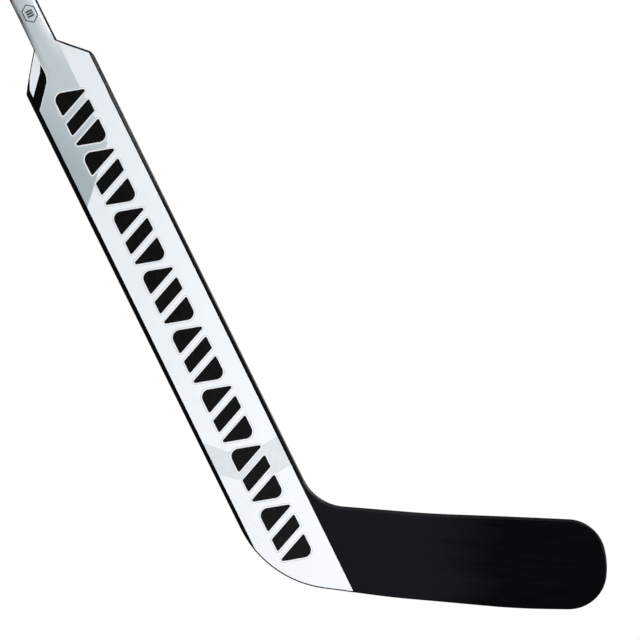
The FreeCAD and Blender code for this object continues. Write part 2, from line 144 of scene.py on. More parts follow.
def fillet_path(corners, turn=math.radians(2.2)):
    """Points round a closed polygon with rounded corners, each (position, inward normal).

    A corner is (x, z, fillet radius), and stays sharp where the radius is None.
    turn is the most that an arc turns between two points.
    """
    count = len(corners)
    points = [Vector(corner[:2]) for corner in corners]
    arcs = []
    for index, corner in enumerate(corners):
        here = points[index]
        back = (points[index - 1] - here).normalized()
        ahead = (points[(index + 1) % count] - here).normalized()
        if corner[2] is None:
            arcs.append((here, here, None, None, None))
            continue
        half = back.angle(ahead) / 2
        reach = corner[2] / math.tan(half)
        centre = here + (back + ahead).normalized() * (corner[2] / math.sin(half))
        arcs.append((here + back * reach, here + ahead * reach, centre, corner[2], math.pi - 2 * half))
    path = []
    for index in range(count):
        enter, leave, centre, radius, angle = arcs[index]
        incoming = (points[index] - points[index - 1]).normalized()
        outgoing = (points[(index + 1) % count] - points[index]).normalized()
        if radius is None:
            left = Vector((-incoming.y, incoming.x))
            right = Vector((-outgoing.y, outgoing.x))
            path.append((enter, (left + right).normalized() / max(math.cos(left.angle(right) / 2), 0.3)))
        else:
            parts = max(int(math.ceil(angle / turn)), int(math.ceil(radius * angle / ARC_STEP)), 3)
            inward = 1.0 if incoming.x * outgoing.y - incoming.y * outgoing.x > 0 else -1.0
            first = (enter - centre).normalized()
            for part in range(parts + 1):
                spin = Matrix.Rotation(angle * part / parts * inward, 2)
                arm = spin @ first
                path.append((centre + arm * radius, -arm * inward))
        following = arcs[(index + 1) % count][0]
        length = (following - leave).length
        pieces = max(int(length / STRAIGHT_STEP), 1)
        normal = Vector((-outgoing.y, outgoing.x))
        for piece in range(1, pieces):
            path.append((leave.lerp(following, piece / pieces), normal))
    return path


def film_left(along):
    """How far left of the axis the film reaches at a height along it."""
    return FILM_HALF + FILM_DRIFT * (FILM_DRIFT_FROM - along)


def film_right(along):
    """How far right of the axis the film reaches at a height along it."""
    return FILM_RIGHT - FILM_DRIFT * (FILM_DRIFT_FROM - along)


FILM_GAP = 0.3               # between the film's edge and a large rounding
EDGE_SMALL = 1.5             # the sole's rounding
EDGE_FULL = 3.0              # the rounding of the blade's top edge
CORNER_SMALL = 1.5           # how round the shaft's corners are at the neck
CORNER_FULL = 5.0            # and from CORNER_RUN above it
CORNER_RUN = 25.0


def edge_rounding(x, z):
    """How round the edge is at a place on the outline, mm."""
    across, along = untilt(x, z)
    if across < 0:
        spare = min(-across - film_left(along) - FILM_GAP, 5.0)
    else:
        spare = min(across - film_right(along) - FILM_GAP, 3.5)
    if along > 570:                                  # the shoulders
        shoulder = 1.3 if across < 0 else 2.0
        shoulder += (CORNER_SMALL - shoulder) * blend(along, SHOULDER_UP - 10, SHOULDER_UP)
        return max(spare, shoulder)
    if across < -20 or x < -120 and z < 40:          # the paddle's left edge and the heel
        return max(spare, EDGE_SMALL)
    if across > 35 and along > THROAT_UP:            # the paddle's right edge
        return EDGE_FULL + 0.5 * blend(along, THROAT_UP, 590)
    if z > 45 and x < 120:                           # the throat and the blade's top edge
        return EDGE_FULL
    return EDGE_SMALL + (EDGE_FULL - EDGE_SMALL) * blend(z, 10, 85)


def film_inset(radius):
    """How far inside the outline the film ends: on the flat face, or just over a small rounding."""
    return radius + min(1.2 * max(radius - 1.8, 0.0), FILM_GAP)


FRONT_FALL = TOE_HOOK + TOE_THICK / 2 - SLAB_HALF
BACK_FALL = TOE_HOOK - TOE_THICK / 2 + SLAB_HALF
TOE_DEPTH = TOE_REACH - CURVE_START


def face_at(x, front):
    """The Y of the front or back face at an X, and how fast it changes with X: an arc to the toe."""
    fall = FRONT_FALL if front else BACK_FALL
    bend = (TOE_DEPTH ** 2 + fall ** 2) / (2 * fall)
    start = -SLAB_HALF if front else SLAB_HALF
    run = max(x - CURVE_START, 0.0)
    drop = math.sqrt(bend ** 2 - run ** 2)
    return start - (bend - drop), -run / drop


# -------------------- meshes

def new_object(name, vertices, faces, normals=None, smooth=True):
    """A mesh object from points in mm."""
    mesh = bpy.data.meshes.new(name)
    mesh.from_pydata([tuple(value * MM for value in vertex) for vertex in vertices], [], faces)
    mesh.validate()
    for polygon in mesh.polygons:
        polygon.use_smooth = smooth
    if normals is not None:
        mesh.normals_split_custom_set_from_vertices(normals)
    piece = bpy.data.objects.new(name, mesh)
    bpy.context.scene.collection.objects.link(piece)
    return piece


def used_object(name, vertices, faces, normals=None, smooth=True):
    """A mesh object of the faces and only the points they use."""
    used = sorted({index for face in faces for index in face})
    fresh = {old: new for new, old in enumerate(used)}
    return new_object(name, [vertices[old] for old in used],
                      [tuple(fresh[index] for index in face) for face in faces],
                      normals and [normals[old] for old in used], smooth)


def inside(point, loop):
    """Whether a point lies inside a closed loop."""
    x, y = point
    hit = False
    previous = loop[-1]
    for current in loop:
        if (current[1] > y) != (previous[1] > y):
            cross = (previous[0] - current[0]) * (y - current[1]) / (previous[1] - current[1]) + current[0]
            if x < cross:
                hit = not hit
        previous = current
    return hit


def joined(loops):
    """The points of several closed loops, and the edges between them."""
    points, edges = [], []
    for loop in loops:
        start = len(points)
        points += [Vector(point) for point in loop]
        edges += [(start + index, start + (index + 1) % len(loop)) for index in range(len(loop))]
    return points, edges


def anticlockwise(points, face):
    """A face's corners in the order that turns left."""
    area = 0.0
    for index in range(len(face)):
        first, second = points[face[index]], points[face[(index + 1) % len(face)]]
        area += first.x * second.y - second.x * first.y
    return tuple(face) if area > 0 else tuple(reversed(face))


def fill(loop, extra_points, extra_edges):
    """Triangles filling a closed loop, with points and edges they must use."""
    points, edges = joined([loop])
    start = len(points)
    points += [Vector(point) for point in extra_points]
    edges += [(start + first, start + second) for first, second in extra_edges]
    out_points, _, out_faces, sources, _, _ = delaunay_2d_cdt(points, edges, [], 0, 1e-4)
    kept = []
    for face in out_faces:
        middle = sum((out_points[index] for index in face), Vector((0.0, 0.0))) / len(face)
        if inside(middle, loop):
            kept.append(anticlockwise(out_points, face))
    return out_points, kept, sources


PROFILE = 7                  # steps in an edge's quarter round


def profile_point(place, inward, radius, step, front):
    """A point and normal on an edge's quarter round: step 0 is on the side wall."""
    angle = math.pi / 2 * step / PROFILE
    spot = place + inward * radius * (1 - math.cos(angle))
    face_y, face_slope = face_at(spot.x, front)
    depth = radius * (1 - math.sin(angle))
    side = -inward.normalized() * math.cos(angle)
    face = Vector((face_slope, -1.0) if front else (-face_slope, 1.0)).normalized() * math.sin(angle)
    y = face_y + depth if front else face_y - depth
    return (spot.x, y, spot.y), Vector((side.x + face.x, face.y, side.y)).normalized()


def nearest(path, across, along):
    """The index of the outline sample nearest a place given across and along the axis."""
    spot = Vector(tilt(across, along))
    return min(range(len(path)), key=lambda index: (path[index][0] - spot).length)


def cut_walls(faces, behind):
    """Faces that close a shell where it was cut, from each open edge in front to the one behind it."""
    edges = {edge for face in faces for edge in zip(face, face[1:] + face[:1])}
    walls = []
    for first, second in sorted(edges):
        if (second, first) not in edges and first in behind and second in behind:
            walls.append((second, first, behind[first], behind[second]))
    return walls


RIM = 0.6                    # the flat rim inside an edge's rounding
CUT_ACROSS = 31.0            # the seam between paddle and blade runs straight at this distance


def face_grid(loop):
    """Points spread in staggered columns over the blade's faces, so that they bend evenly."""
    wide, tall, clear = 7.0, 11.0, 5.0
    grid = []
    for column in range(34):
        for row in range(9):
            spot = Vector((-78.0 + wide * column, 8.0 + tall * row + (column % 2) * 5.0))
            if inside(spot, loop) and min((spot - other).length for other in loop) > clear:
                grid.append(spot)
    return grid


def edge_rings(path):
    """The points and normals of the rounded edges, in front and then behind.

    Each place on the outline has PROFILE + 2 of them, from the side wall in to the flat rim.
    """
    vertices, normals = [], []
    for front in (True, False):
        for place, inward in path:
            radius = edge_rounding(place.x, place.y)
            for step in range(PROFILE + 1):
                vertex, normal = profile_point(place, inward, radius, step, front)
                vertices.append(vertex)
                normals.append(normal)
            spot = place + inward * (radius + RIM)
            vertex, normal = profile_point(spot, inward, 0.0, PROFILE, front)
            vertices.append(vertex)
            normals.append(normal)
    return vertices, normals


def body_shells():
    """The outer surfaces of paddle and blade, cut from one smooth skin round the whole outline."""
    path = fillet_path(outline_corners())
    count = len(path)
    rings = PROFILE + 2
    vertices, normals = edge_rings(path)

    def at(front, index, step):
        """The index of a point on an edge."""
        return (0 if front else count * rings) + (index % count) * rings + step

    sole_cut = nearest(path, CUT_ACROSS, -16.0)
    throat_cut = nearest(path, PADDLE_HALF, THROAT_UP)
    neck_right = nearest(path, SHAFT_HALF, NECK_UP)
    neck_left = nearest(path, -SHAFT_HALF, NECK_UP)
    loop = [Vector((vertices[at(True, index, rings - 1)][0], vertices[at(True, index, rings - 1)][2]))
            for index in range(count)]
    elbow_along = untilt(*loop[throat_cut])[1]
    elbow = Vector(tilt(CUT_ACROSS, elbow_along))
    blade_loop = loop[sole_cut:throat_cut + 1] + [elbow]
    extra = [elbow, loop[sole_cut], loop[throat_cut], loop[neck_right], loop[neck_left]]
    extra += face_grid(loop)
    points, triangles, sources = fill(loop, extra, [(1, 0), (0, 2), (3, 4)])
    lookup = {}
    behind = {at(True, index, step): at(False, index, step)
              for index in range(count) for step in range(rings)}
    for front in (True, False):
        for index, point in enumerate(points):
            ring = [source for source in sources[index] if source < count]
            if ring:
                lookup[front, index] = at(front, ring[0], rings - 1)
                continue
            lookup[front, index] = len(vertices)
            vertex, normal = profile_point(point, Vector((1.0, 0.0)), 0.0, PROFILE, front)
            vertices.append(vertex)
            normals.append(normal)
    behind.update({lookup[True, index]: lookup[False, index] for index in range(len(points))})
    groups = {"paddle_body": [], "blade_body": []}
    for index in range(count):
        on_blade = sole_cut <= index < throat_cut
        if neck_right <= index < neck_left:
            continue
        faces = groups["blade_body" if on_blade else "paddle_body"]
        faces.append((at(True, index, 0), at(False, index, 0),
                      at(False, index + 1, 0), at(True, index + 1, 0)))
        for step in range(rings - 1):
            quad = ((index, step), (index + 1, step), (index + 1, step + 1), (index, step + 1))
            faces.append(tuple(at(True, *corner) for corner in quad))
            faces.append(tuple(at(False, *corner) for corner in reversed(quad)))
    for triangle in triangles:
        middle = sum((points[index] for index in triangle), Vector((0.0, 0.0))) / 3
        if untilt(*middle)[1] > NECK_UP:
            continue
        faces = groups["blade_body" if inside(middle, blade_loop) else "paddle_body"]
        faces.append(tuple(lookup[True, index] for index in triangle))
        faces.append(tuple(lookup[False, index] for index in reversed(triangle)))
    shells = [used_object(name, vertices, faces + cut_walls(faces, behind), normals)
              for name, faces in groups.items()]
    return shells, path


def corner_radius(along):
    """How round the shaft's corners are at a height."""
    share = min(max((along - NECK_UP) / CORNER_RUN, 0.0), 1.0)
    return CORNER_SMALL + (CORNER_FULL - CORNER_SMALL) * share


def section(along, grow=0.0, half=SHAFT_HALF, thick=SLAB_HALF, radius=None):
    """The rounded rectangle of the shaft at a height: each (across, y, normal across, normal y)."""
    if radius is None:
        radius = corner_radius(along)
    points = []
    for turn, (side, face) in enumerate(((1, 1), (-1, 1), (-1, -1), (1, -1))):
        for step in range(PROFILE + 1):
            angle = math.pi / 2 * (step / PROFILE + turn)
            points.append((side * (half - radius) + (radius + grow) * math.cos(angle),
                           face * (thick - radius) + (radius + grow) * math.sin(angle),
                           math.cos(angle), math.sin(angle)))
    return points


def raise_point(across, y, along):
    """A point given across, in depth and along the axis, in X, Y and Z."""
    x, z = tilt(across, along)
    return x, y, z


def raise_normal(across, y):
    """A direction given across and in depth, in X, Y and Z."""
    return Vector((across * COS, y, across * SIN))


BUTT_ROUND = 0.5             # the rounding of the sleeve's end
BUTT_DEEP = 3.0              # how far the shell reaches down round the wood


def shaft_shell():
    """The sleeve of the shaft, with a rim round the bare wood of its butt end."""
    full = NECK_UP + CORNER_RUN
    heights = [NECK_UP + CORNER_RUN * step / 10 for step in range(11)]
    heights += [full + (SHAFT_UP - BUTT_ROUND - full) * step / 24 for step in range(1, 25)]
    vertices, normals, faces = [], [], []
    for along in heights:
        for across, y, normal_across, normal_y in section(along):
            vertices.append(raise_point(across, y, along))
            normals.append(raise_normal(normal_across, normal_y))
    up = Vector((-SIN, 0.0, COS))
    inner = section(SHAFT_UP, 0.0, WOOD_HALF, SLAB_HALF - WRAP, 4.0)
    for along, loop, tip in ((SHAFT_UP - 0.15, section(SHAFT_UP, -0.15), 0.6),
                             (SHAFT_UP, section(SHAFT_UP, -BUTT_ROUND), 1.0),
                             (SHAFT_UP, inner, 1.0),
                             (SHAFT_UP - BUTT_DEEP, inner, 0.0)):
        for across, y, normal_across, normal_y in loop:
            vertices.append(raise_point(across, y, along))
            normals.append((raise_normal(normal_across, normal_y) * (1 - tip) + up * tip).normalized())
    around = len(inner)
    for level in range(len(vertices) // around - 1):
        for index in range(around):
            following = (index + 1) % around
            faces.append((level * around + index, level * around + following,
                          (level + 1) * around + following, (level + 1) * around + index))
    faces.append(tuple(reversed(range(around))))
    faces.append(tuple(range(len(vertices) - around, len(vertices))))
    return new_object("shaft_body", vertices, faces, normals)


def arc_line(side, low, high):
    """Stations round one full corner of the shaft: each (side, angle from the side wall)."""
    return [(side, math.radians(low + (high - low) * step / PROFILE)) for step in range(PROFILE + 1)]


def wrapped_line(left_low, right_low):
    """Stations from the left corner, over the crowned face, to the right corner."""
    flat = [(-1 + step / 4, math.pi / 2) for step in range(1, 8)]
    return arc_line(-1, left_low, 90.0) + flat + arc_line(1, right_low, 90.0)[::-1]


def sheet_faces(rows, columns, front):
    """The faces of a thin bent sheet, where each row holds its top points and then its lower points."""
    faces = []

    def add(quad):
        faces.append(quad if front else quad[::-1])

    for row in range(rows):
        base, above = row * 2 * columns, (row + 1) * 2 * columns
        for index in range(columns - 1):
            add((base + index, base + index + 1, above + index + 1, above + index))
            add((base + columns + index, above + columns + index,
                 above + columns + index + 1, base + columns + index + 1))
        add((base + columns, base, above, above + columns))
        last = columns - 1
        add((base + last, base + columns + last, above + columns + last, above + last))
    for row, turned in ((0, False), (rows, True)):
        base = row * 2 * columns
        for index in range(columns - 1):
            quad = (base + columns + index, base + columns + index + 1, base + index + 1, base + index)
            add(quad[::-1] if turned else quad)
    return faces


CROWN_RUN = 14.0             # a film's crown grows from nothing over this length above the neck


def wrap_film(name, line, low, high, lift, front=True, crown=0.0):
    """A thin film bent over the shaft's face and corners, between two slanting ends.

    low and high are each the height at the left edge and at the right edge.
    crown is how much the film swells in the middle of the face.
    """
    facing = -1 if front else 1
    rows = 36
    vertices, normals = [], []
    for row in range(rows + 1):
        for grow in (lift, -SINK):
            for side, angle in line:
                way = math.copysign(1.0, side)
                reach = abs(side) * (SHAFT_HALF - CORNER_FULL + CORNER_FULL * math.cos(angle))
                share = (way * reach / SHAFT_HALF + 1) / 2
                start = low[0] + (low[1] - low[0]) * share
                stop = high[0] + (high[1] - high[0]) * share
                along = start + (stop - start) * row / rows
                radius = corner_radius(along)
                swell = crown * blend(along, NECK_UP, NECK_UP + CROWN_RUN) if grow > 0 else 0.0
                core = SHAFT_HALF - radius
                cosine = max(reach - core, 0.0) / radius
                sine = math.sqrt(1 - cosine * cosine)
                across = way * (min(reach, core) + (radius + grow) * cosine)
                y = SLAB_HALF - radius + (radius + grow) * sine + swell * (1 - side * side)
                vertices.append(raise_point(across, facing * y, along))
                tip = side * 2 * swell / (SHAFT_HALF - CORNER_FULL)
                normal = raise_normal(way * cosine + tip, facing * sine).normalized()
                normals.append(normal if grow > 0 else -normal)
    return new_object(name, vertices, sheet_faces(rows, len(line), front), normals)


def film(name, loops, holds, level, front=True):
    """A thin print on the flat face of paddle or shaft.

    loops are its edges, given across and along. holds says whether a point is covered.
    level is how far its top stands above the flat face.
    """
    points, _, triangles, _, _, _ = delaunay_2d_cdt(*joined(loops), [], 0, 1e-4)
    facing = -1 if front else 1
    top = facing * (SLAB_HALF + level)
    bottom = facing * (SLAB_HALF - SINK)
    size = len(points)
    faces, edges = [], set()
    for triangle in triangles:
        middle = sum((points[index] for index in triangle), Vector((0.0, 0.0))) / len(triangle)
        if not holds(middle):
            continue
        triangle = anticlockwise(points, triangle)
        faces.append(triangle if front else triangle[::-1])
        under = tuple(index + size for index in triangle)
        faces.append(under[::-1] if front else under)
        edges.update(zip(triangle, triangle[1:] + triangle[:1]))
    for first, second in edges:
        if (second, first) not in edges:
            quad = (first, first + size, second + size, second)
            faces.append(quad if front else quad[::-1])
    vertices = []
    for y in (top, bottom):
        vertices += [raise_point(point.x, y, point.y) for point in points]
    return used_object(name, vertices, faces, None, False)


def any_of(loops):
    """A test of whether a point lies inside any of the loops."""
    return lambda point: any(inside(point, loop) for loop in loops)


def both(first, second):
    """A test of whether a point lies inside both loops."""
    return lambda point: inside(point, first) and inside(point, second)


# -------------------- the printed design

def film_edge(path):
    """The white film's outline, across and along: inside the rounded edges, and straight beside the blade."""
    loop = []
    for place, inward in path:
        spot = place + inward * film_inset(edge_rounding(place.x, place.y))
        loop.append(Vector(untilt(*spot)))
    loop = clip(loop, Vector((1.0, -FILM_DRIFT)), film_right(0.0))
    loop = clip(loop, Vector((-1.0, FILM_DRIFT)), film_left(0.0))
    return clip(loop, Vector((0.0, 1.0)), NECK_UP)


def clip(loop, direction, limit):
    """The part of a closed loop on the near side of a straight line."""
    kept = []
    previous = loop[-1]
    for current in loop:
        before, after = previous.dot(direction) - limit, current.dot(direction) - limit
        if (before > 0) != (after > 0):
            kept.append(previous.lerp(current, before / (before - after)))
        if after <= 0:
            kept.append(current)
        previous = current
    return kept


BLOCKS = 8
BLOCK_PITCH = 69.36
BLOCK_LONG = 60.2
BLOCK_HALF = 16.5
BLOCK_TOP = 584.1
BLOCK_BARS = 3
BLOCK_SLANT = 0.3            # how much lower the right end is, per mm across
SLOT_SLANT = -0.42
SLOT = 8.6                   # the gap between two bars, along the axis
BLOCK_ROUND = 8.0            # roundings of a block's outer corners and of a bar's other corners
BAR_ROUND = 1.2
TIP_ROUND = 1.4
LEVELS = {                   # how far each layer's top stands above the flat face, mm
    "white": 0.04, "silver": 0.07, "grey": 0.07, "wedge": 0.10,
    "seam": 0.09, "hairline": 0.09, "border": 0.11, "black": 0.13,
}


def block_corners(top):
    """The bars of one slanted block, each a list of corners with a rounding."""
    def ends(height, lean):
        return (-BLOCK_HALF, height + lean * BLOCK_HALF), (BLOCK_HALF, height - lean * BLOCK_HALF)

    bar_long = (BLOCK_LONG - SLOT * (BLOCK_BARS - 1)) / BLOCK_BARS
    bars = []
    for index in range(BLOCK_BARS):
        high = top - index * (bar_long + SLOT)
        first, last = index == 0, index == BLOCK_BARS - 1
        left_high, right_high = ends(high, BLOCK_SLANT if first else SLOT_SLANT)
        left_low, right_low = ends(high - bar_long, BLOCK_SLANT if last else SLOT_SLANT)
        bars.append([left_high + (BLOCK_ROUND if first else BAR_ROUND,), left_low + (TIP_ROUND,),
                     right_low + (BLOCK_ROUND if last else BAR_ROUND,), right_high + (TIP_ROUND,)])
    return bars


def grown(corners, distance):
    """A loop with rounded corners, moved outward."""
    return [place - inward.normalized() * distance
            for place, inward in fillet_path(corners, turn=math.radians(9.0))]


def print_design(path, front):
    """The films and prints on one side of the paddle and the foot of the shaft."""
    side = "front" if front else "back"
    edge = film_edge(path)
    silver = [(13.7, NECK_UP + 1), (13.7, 518.0), (-FILM_HALF, 466.2), (-FILM_HALF - 1, 579.0),
              (-FILM_HALF - 1, NECK_UP + 1)]
    wedge_right = [(-13.1, 635.1), (-13.5, 622.4), (-12.8, 615.6), (-12.9, 610.6), (-13.8, 606.7),
                   (-15.6, 602.8), (-20.2, 596.9), (-FILM_HALF - 1, 578.0)]
    wedge_left = [(-FILM_HALF - 1, 593.2), (-17.6, 614.5), (-15.4, 618.3), (-13.5, 622.4)]
    corner = wedge_right + [(-FILM_HALF - 9, 578.0), (-FILM_HALF - 9, NECK_UP + 9),
                            (-SHAFT_HALF, NECK_UP + 9)]
    wedge = wedge_right[1:] + wedge_left
    band = [(-FILM_HALF - 1, 192.0), (-16.0, 170.5), (16.0, 161.9), (FILM_RIGHT + 1, 163.0),
            (FILM_RIGHT + 1, 130.5), (19.5, 128.9), (-20.9, 140.7), (-FILM_HALF - 1, 154.0)]
    bars = [bar for index in range(BLOCKS) for bar in block_corners(BLOCK_TOP - BLOCK_PITCH * index)]
    hairline = [grown(bar, 1.9) for bar in bars]
    border = [grown(bar, 1.3) for bar in bars]
    black = [grown(bar, 0.0) for bar in bars]
    seam = wedge_right + [(across + 0.7, along - 0.2) for across, along in reversed(wedge_right)]

    def silver_holds(point):
        return inside(point, edge) and inside(point, silver) and not inside(point, corner)

    prints = {
        "white": ("film", [edge], any_of([edge])),
        "silver": ("silver", [edge, silver, corner], silver_holds),
        "grey": ("band", [edge, band], both(edge, band)),
        "wedge": ("wedge", [edge, wedge], both(edge, wedge)),
        "seam": ("seam", [edge, seam], both(edge, seam)),
        "hairline": ("hairline", hairline, any_of(hairline)),
        "border": ("border", border, any_of(border)),
        "black": ("blocks", black, any_of(black)),
    }
    return {layer: film(f"{side}_{name}", loops, holds, LEVELS[layer], front)
            for layer, (name, loops, holds) in prints.items()}


CROWN_FRONT = 0.35           # how much the films on the shaft swell in the middle of each face
CROWN_BACK = 0.15
BADGE_LEVEL = CROWN_FRONT + 0.1


def badge_marks():
    """A plain six-sided outline round three short bars, on the foot of the shaft."""
    middle = Vector((0.6, 675.0))

    def hexagon(half_wide, half_long):
        return [middle + Vector((half_wide * x, half_long * y))
                for x, y in ((0, -1), (1, -0.5), (1, 0.5), (0, 1), (-1, 0.5), (-1, -0.5))]

    def bar(low, high, across):
        spots = ((-across, low), (across, low), (across, high), (-across, high))
        return [middle + Vector(spot) for spot in spots]

    outer, inner = hexagon(7.2, 10.6), hexagon(6.3, 9.35)
    bars = [bar(-3.8 + 2.8 * index, -1.8 + 2.8 * index, 3.6) for index in range(3)]
    bars_hold = any_of(bars)

    def holds(point):
        return bars_hold(point) or inside(point, outer) and not inside(point, inner)

    return film("badge_marks", [outer, inner] + bars, holds, BADGE_LEVEL)


# -------------------- materials

def shader_node(tree, kind, inputs=None, **settings):
    """A node with its settings, and its inputs as values or as other nodes' outputs."""
    made = tree.nodes.new(kind)
    for name, value in settings.items():
        setattr(made, name, value)
    for name, value in (inputs or {}).items():
        socket = made.inputs[name]
        if isinstance(value, bpy.types.NodeSocket):
            tree.links.new(value, socket)
        else:
            socket.default_value = value
    return made


def new_material(name, **inputs):
    """A material and its tree and main shader."""
    material = bpy.data.materials.new(name)
    material.use_nodes = True
    tree = material.node_tree
    shader = tree.nodes["Principled BSDF"]
    for key, value in inputs.items():
        shader.inputs[key.replace("_", " ")].default_value = value
    return material, tree, shader


def local_place(tree, stretch=(1.0, 1.0, 1.0)):
    """Across, depth and along the leaning axis, in metres, each scaled by stretch."""
    place = shader_node(tree, "ShaderNodeTexCoord").outputs["Object"]
    turned = shader_node(tree, "ShaderNodeMapping", {
        "Vector": place,
        "Rotation": (0.0, LEAN, 0.0),
        "Location": (-FOOT * COS * MM, 0.0, FOOT * SIN * MM),
    })
    return shader_node(tree, "ShaderNodeVectorMath", {0: turned.outputs[0], 1: stretch},
                       operation="MULTIPLY").outputs[0]


def across_along(tree, place):
    """The first and third part of a local place."""
    parts = shader_node(tree, "ShaderNodeSeparateXYZ", {0: place})
    return parts.outputs[0], parts.outputs[2]


def noise(tree, vector, scale, detail=3.0, roughness=0.55):
    """Soft noise between 0 and 1."""
    return shader_node(tree, "ShaderNodeTexNoise", {
        "Vector": vector, "Scale": scale, "Detail": detail, "Roughness": roughness}).outputs["Fac"]


def remap(tree, value, low, high, to_low=0.0, to_high=1.0):
    """The value's range low to high, moved to another range and held there."""
    return shader_node(tree, "ShaderNodeMapRange", {
        "Value": value, "From Min": low, "From Max": high,
        "To Min": to_low, "To Max": to_high}).outputs["Result"]


def mix(tree, share, first, second):
    """A colour between two colours."""
    made = shader_node(tree, "ShaderNodeMix", {0: share}, data_type="RGBA")
    for index, value in ((6, first), (7, second)):
        if isinstance(value, bpy.types.NodeSocket):
            tree.links.new(value, made.inputs[index])
        else:
            made.inputs[index].default_value = value
    return made.outputs[2]


def math_node(tree, operation, first, second=0.0):
    """The result of one operation on two values."""
    return shader_node(tree, "ShaderNodeMath", {0: first, 1: second}, operation=operation).outputs[0]


def times(tree, first, second):
    """The product of two values."""
    return math_node(tree, "MULTIPLY", first, second)


def weighed(tree, first, second, share):
    """The first value and the second, in the proportions 1 - share and share."""
    return math_node(tree, "ADD", times(tree, first, 1 - share), times(tree, second, share))


def roughen(tree, shader, height, depth, roughness=None):
    """Gives the shader a bump from a height and, if asked, a roughness."""
    bumped = shader_node(tree, "ShaderNodeBump", {"Height": height, "Distance": depth * MM, "Strength": 1.0})
    tree.links.new(bumped.outputs[0], shader.inputs["Normal"])
    if roughness is not None:
        tree.links.new(roughness, shader.inputs["Roughness"])


def facing_back(tree):
    """How squarely the surface faces the back of the stick: 1 there, 0 on a side wall, -1 in front."""
    normal = shader_node(tree, "ShaderNodeTexCoord").outputs["Normal"]
    return shader_node(tree, "ShaderNodeSeparateXYZ", {0: normal}).outputs[1]


def grey(value, blue=0.0):
    """A grey, cooler where blue is above 0."""
    return (value, value * (1 + blue / 2), value * (1 + blue), 1.0)


def black_lacquer():
    """Black moulded edge: slight orange peel, faint rub marks, glossiest in front at the top right."""
    material, tree, shader = new_material("black_lacquer", Coat_Roughness=0.12)
    across, along = across_along(tree, local_place(tree))
    upper_right = times(tree, remap(tree, along, 0.420, 0.600), remap(tree, across, -0.008, 0.004))
    shine = times(tree, upper_right, remap(tree, facing_back(tree), 0.0, -0.3))
    tree.links.new(remap(tree, shine, 0.0, 1.0, 0.07, 0.42), shader.inputs["Specular IOR Level"])
    tree.links.new(remap(tree, shine, 0.0, 1.0, 0.03, 0.36), shader.inputs["Coat Weight"])
    peel = noise(tree, local_place(tree), 420.0)
    rubs = noise(tree, local_place(tree, (420.0, 420.0, 14.0)), 1.0)
    shade = remap(tree, rubs, 0.35, 0.75)
    tree.links.new(mix(tree, shade, grey(0.0012), grey(0.003, 0.1)), shader.inputs["Base Color"])
    roughen(tree, shader, peel, 0.0008, remap(tree, rubs, 0.3, 0.8, 0.22, 0.30))
    return material


def blade_black():
    """Satin black wrap of the blade: lengthwise fibres, a painted sheen that greys it towards the heel, shiny
    front edges.
    """
    material, tree, shader = new_material("blade_black")
    place = shader_node(tree, "ShaderNodeTexCoord").outputs["Object"]

    def stretched(stretch, detail):
        run = shader_node(tree, "ShaderNodeVectorMath", {0: place, 1: stretch}, operation="MULTIPLY")
        return noise(tree, run.outputs[0], 1.0, detail, 0.6)

    fibre = stretched((14.0, 300.0, 420.0), 5.0)
    streak = stretched((4.0, 20.0, 55.0), 2.0)
    along = shader_node(tree, "ShaderNodeSeparateXYZ", {0: place}).outputs[0]
    # painted sheen: thin paints the black greyer towards the heel as a painted reflection, and streak makes
    # its edge waver
    thin = remap(tree, math_node(tree, "ADD", along, times(tree, streak, 0.09)), 0.098, 0.022)
    shade = math_node(tree, "ADD", times(tree, thin, 0.85), remap(tree, fibre, 0.3, 0.7, 0.0, 0.15))
    tree.links.new(mix(tree, shade, (0.0004, 0.0004, 0.0009, 1.0), (0.0060, 0.0072, 0.0086, 1.0)),
                   shader.inputs["Base Color"])
    facing = facing_back(tree)
    rounded = math_node(tree, "MINIMUM", remap(tree, facing, -0.96, -0.75), remap(tree, facing, -0.15, -0.35))
    tree.links.new(remap(tree, rounded, 0.0, 1.0, 0.03, 0.4), shader.inputs["Specular IOR Level"])
    worn_wall = remap(tree, math_node(tree, "ABSOLUTE", facing), 0.5, 0.1, 0.0, 0.8)
    satin = remap(tree, fibre, 0.3, 0.7, 0.40, 0.50)
    roughen(tree, shader, fibre, 0.003, math_node(tree, "MAXIMUM", satin, worn_wall))
    return material


def white_print():
    """Glossy white film, painted a little darker and bluer towards the top as painted shade. Its lower part
    has a faint grid of dots that fades towards the blade.
    """
    material, tree, shader = new_material("white_print", Coat_Weight=0.35, Coat_Roughness=0.15)
    turned = local_place(tree)
    across, along = across_along(tree, turned)
    flat = shader_node(tree, "ShaderNodeCombineXYZ", {0: across, 1: along}).outputs[0]
    cells = shader_node(tree, "ShaderNodeTexVoronoi", {
        "Vector": flat, "Scale": 1 / (3.6 * MM), "Randomness": 0.0}, voronoi_dimensions="2D", feature="F1")
    dots = remap(tree, cells.outputs["Distance"], 0.18, 0.32, 1.0, 0.0)
    below = remap(tree, along, 0.150, 0.120)
    beside = math_node(tree, "SUBTRACT", times(tree, along, 0.5), across)
    fade = remap(tree, beside, -0.035, 0.09)
    share = times(tree, times(tree, dots, below), fade)
    cloud = noise(tree, turned, 60.0)
    cool = mix(tree, remap(tree, cloud, 0.3, 0.7), (0.745, 0.792, 0.832, 1.0), (0.765, 0.812, 0.852, 1.0))
    # painted shade: the film turns from a neutral white at the bottom to a little darker, bluer white at the
    # top
    top_painted_shade = mix(tree, remap(tree, along, 0.05, 0.55), (0.78, 0.806, 0.822, 1.0), cool)
    toned = mix(tree, times(tree, share, 0.27), top_painted_shade, grey(0.50, 0.05))
    tree.links.new(toned, shader.inputs["Base Color"])
    fibre = noise(tree, local_place(tree, (260.0, 260.0, 40.0)), 1.0)
    roughen(tree, shader, fibre, 0.004, remap(tree, cloud, 0.3, 0.7, 0.3, 0.4))
    return material


